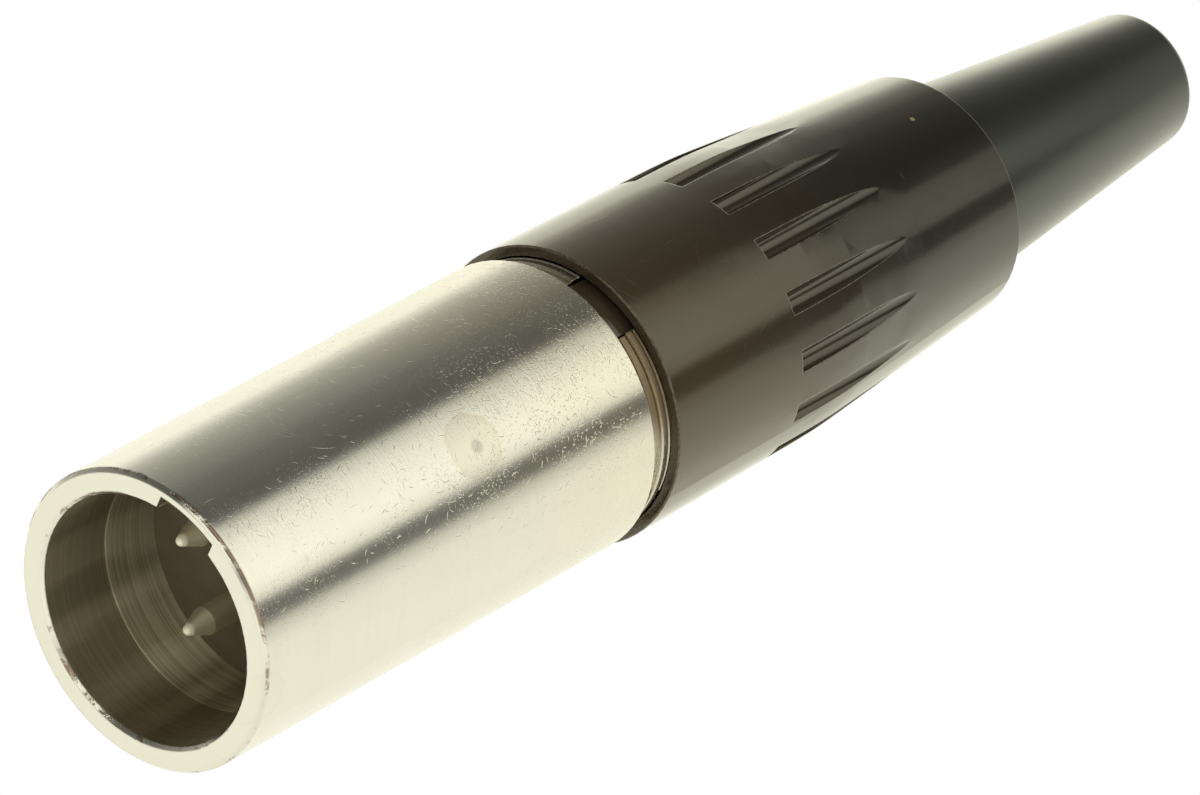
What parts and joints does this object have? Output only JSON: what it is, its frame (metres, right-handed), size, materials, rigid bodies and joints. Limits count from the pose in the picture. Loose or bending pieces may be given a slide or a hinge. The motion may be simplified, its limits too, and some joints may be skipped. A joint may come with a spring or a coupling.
{
  "type": "xlr plug",
  "caption": "Miniature male XLR cable plug: plated barrel with keyed mouth and contacts, fluted screw collar, flexible boot.",
  "frame": {"origin": "centre of the mouth's rim plane, at the base of the standing plug", "axes": "+Z along the plug's axis from the mouth towards the cable, the keyway of the mouth faces -Y"},
  "size_m": [0.0108, 0.0108, 0.0532],
  "materials": {
    "plated_barrel": "nickel plated, brushed around the axis, finely scratched",
    "insert_plastic": "moulded, near black brown",
    "contact_plating": "nickel plated, turned",
    "collar_plastic": "moulded, dark brown, satin gloss",
    "boot_rubber": "matte grey-black flexible moulding"
  },
  "bodies": {
    "barrel_body": {"barrel": "plated_barrel", "pin_insert": "insert_plastic", "contact_pin_1": "contact_plating", "contact_pin_2": "contact_plating", "contact_pin_3": "contact_plating", "cable_clamp": "collar_plastic"},
    "boot_body": {"boot": "boot_rubber"},
    "collar_body": {"collar": "collar_plastic"}
  },
  "joints": [
    {"name": "collar_travel", "type": "slide", "parent": "barrel_body", "child": "boot_body", "axis": [0, 0, 1], "range_m": [-0.001, 0.0032]},
    {"name": "collar_turn", "type": "hinge", "parent": "boot_body", "child": "collar_body", "pos_m": [0, 0, 0], "axis": [0, 0, 1], "range_deg": [-1029, 3292]}
  ],
  "couplings": [
    {"joint": "collar_turn", "follows": "collar_travel", "rad_per_m": 17952}
  ]
}
